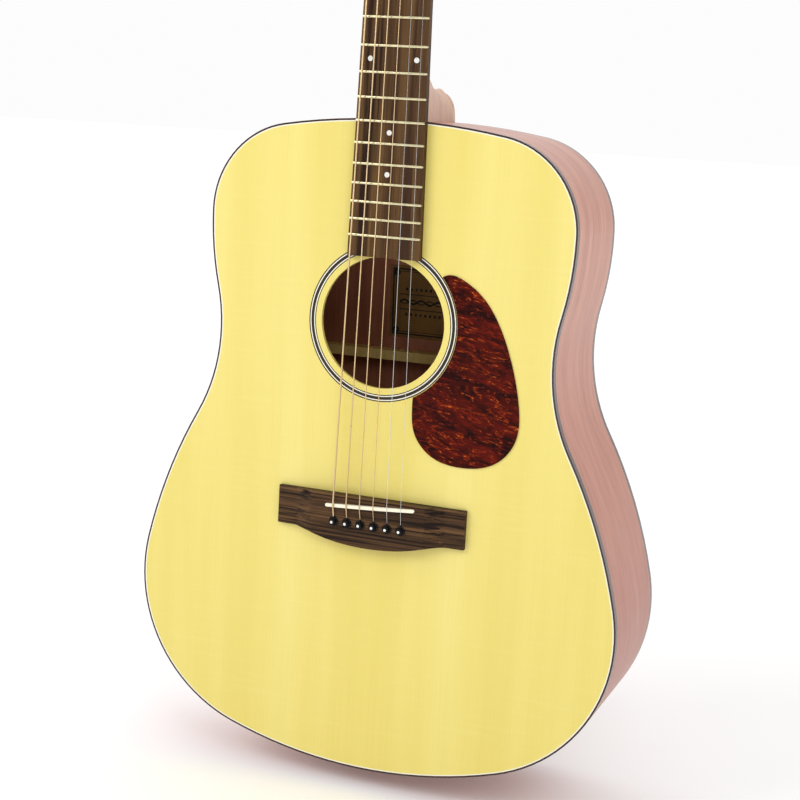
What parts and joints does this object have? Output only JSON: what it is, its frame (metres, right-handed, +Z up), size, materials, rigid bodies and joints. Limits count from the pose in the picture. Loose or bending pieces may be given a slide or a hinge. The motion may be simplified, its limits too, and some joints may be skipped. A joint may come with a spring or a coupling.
{
  "type": "acoustic guitar",
  "caption": "Steel-string flat-top acoustic guitar with a hollow braced body, fretted neck, pinned bridge and geared tuners that turn.",
  "frame": {"origin": "centre of the end pin's seat on the tail of the body, at half the tail depth", "axes": "+Z up the neck towards the headstock, -Y out of the front (the soundboard faces -Y), +X to the treble side"},
  "size_m": [0.3972, 0.1389, 1.0706],
  "materials": {
    "spruce_top": "gloss lacquer",
    "mahogany": "gloss lacquer",
    "neck_mahogany": "satin lacquer",
    "brace_wood": "bare",
    "binding": "gloss",
    "purfling": "gloss",
    "tortoise": "gloss",
    "rosewood": "oiled",
    "bone": "polished",
    "black_pin": "gloss",
    "label_paper": "matt",
    "steel": "plain",
    "fret_wire": "polished",
    "pearl": "polished",
    "nickel": "polished",
    "string_bronze": "wound",
    "string_steel": "plain"
  },
  "bodies": {
    "guitar": {"soundboard": "spruce_top", "back": "mahogany", "side_bass": "mahogany", "side_treble": "mahogany", "top_linings": "brace_wood", "back_linings": "brace_wood", "top_binding": "binding", "top_purfling": "purfling", "back_binding": "binding", "rosette_light": "purfling", "rosette_dark": "binding", "neck_block": "brace_wood", "tail_block": "brace_wood", "x_braces": "brace_wood", "soundboard_braces": "brace_wood", "bridge_plate": "brace_wood", "back_braces": "brace_wood", "pickguard": "tortoise", "bridge": "rosewood", "saddle": "bone", "bridge_pins": "black_pin", "label": "label_paper", "end_pin": "black_pin", "neck": "neck_mahogany", "heel_cap": "neck_mahogany", "neck_bolts": "steel", "truss_rod": "steel", "fingerboard": "rosewood", "frets": "fret_wire", "fret_markers": "pearl", "nut": "bone", "headplate": "rosewood", "tuner_bushings": "nickel", "tuner_screws": "nickel", "tuner_plates": "nickel", "string_1": "string_bronze", "string_2": "string_bronze", "string_3": "string_bronze", "string_4": "string_bronze", "string_5": "string_steel", "string_6": "string_steel"},
    "rod_adjuster": {"truss_rod_nut": "steel"},
    "key_1": {"tuner_key_1": "nickel"},
    "post_1": {"tuner_post_1": "nickel", "string_winding_1": "string_bronze"},
    "key_2": {"tuner_key_2": "nickel"},
    "post_2": {"tuner_post_2": "nickel", "string_winding_2": "string_bronze"},
    "key_3": {"tuner_key_3": "nickel"},
    "post_3": {"tuner_post_3": "nickel", "string_winding_3": "string_bronze"},
    "key_4": {"tuner_key_4": "nickel"},
    "post_4": {"tuner_post_4": "nickel", "string_winding_4": "string_bronze"},
    "key_5": {"tuner_key_5": "nickel"},
    "post_5": {"tuner_post_5": "nickel", "string_winding_5": "string_steel"},
    "key_6": {"tuner_key_6": "nickel"},
    "post_6": {"tuner_post_6": "nickel", "string_winding_6": "string_steel"}
  },
  "joints": [
    {"name": "tuner_key_1_turn", "type": "hinge", "parent": "guitar", "child": "key_1", "pos_m": [-0.0225, -0.03713, 0.89414], "axis": [-1, 0, 0], "continuous": true},
    {"name": "tuner_post_1_turn", "type": "hinge", "parent": "guitar", "child": "post_1", "pos_m": [-0.0225, -0.03966, 0.90403], "axis": [0, 0.9659, -0.2588], "continuous": true},
    {"name": "tuner_key_2_turn", "type": "hinge", "parent": "guitar", "child": "key_2", "pos_m": [-0.0225, -0.02549, 0.93761], "axis": [-1, 0, 0], "continuous": true},
    {"name": "tuner_post_2_turn", "type": "hinge", "parent": "guitar", "child": "post_2", "pos_m": [-0.0225, -0.02801, 0.9475], "axis": [0, 0.9659, -0.2588], "continuous": true},
    {"name": "tuner_key_3_turn", "type": "hinge", "parent": "guitar", "child": "key_3", "pos_m": [-0.0225, -0.01384, 0.98108], "axis": [-1, 0, 0], "continuous": true},
    {"name": "tuner_post_3_turn", "type": "hinge", "parent": "guitar", "child": "post_3", "pos_m": [-0.0225, -0.01637, 0.99097], "axis": [0, 0.9659, -0.2588], "continuous": true},
    {"name": "tuner_key_4_turn", "type": "hinge", "parent": "guitar", "child": "key_4", "pos_m": [0.0225, -0.01384, 0.98108], "axis": [1, 0, 0], "continuous": true},
    {"name": "tuner_post_4_turn", "type": "hinge", "parent": "guitar", "child": "post_4", "pos_m": [0.0225, -0.01637, 0.99097], "axis": [0, 0.9659, -0.2588], "continuous": true},
    {"name": "tuner_key_5_turn", "type": "hinge", "parent": "guitar", "child": "key_5", "pos_m": [0.0225, -0.02549, 0.93761], "axis": [1, 0, 0], "continuous": true},
    {"name": "tuner_post_5_turn", "type": "hinge", "parent": "guitar", "child": "post_5", "pos_m": [0.0225, -0.02801, 0.9475], "axis": [0, 0.9659, -0.2588], "continuous": true},
    {"name": "tuner_key_6_turn", "type": "hinge", "parent": "guitar", "child": "key_6", "pos_m": [0.0225, -0.03713, 0.89414], "axis": [1, 0, 0], "continuous": true},
    {"name": "tuner_post_6_turn", "type": "hinge", "parent": "guitar", "child": "post_6", "pos_m": [0.0225, -0.03966, 0.90403], "axis": [0, 0.9659, -0.2588], "continuous": true},
    {"name": "truss_rod_adjust", "type": "hinge", "parent": "guitar", "child": "rod_adjuster", "pos_m": [0, -0.054, 0.45048], "axis": [0, 0, 1], "range_deg": [-180, 180]}
  ],
  "couplings": [
    {"joint": "tuner_post_1_turn", "follows": "tuner_key_1_turn", "ratio": 0.071429},
    {"joint": "tuner_post_2_turn", "follows": "tuner_key_2_turn", "ratio": 0.071429},
    {"joint": "tuner_post_3_turn", "follows": "tuner_key_3_turn", "ratio": 0.071429},
    {"joint": "tuner_post_4_turn", "follows": "tuner_key_4_turn", "ratio": 0.071429},
    {"joint": "tuner_post_5_turn", "follows": "tuner_key_5_turn", "ratio": 0.071429},
    {"joint": "tuner_post_6_turn", "follows": "tuner_key_6_turn", "ratio": 0.071429}
  ]
}
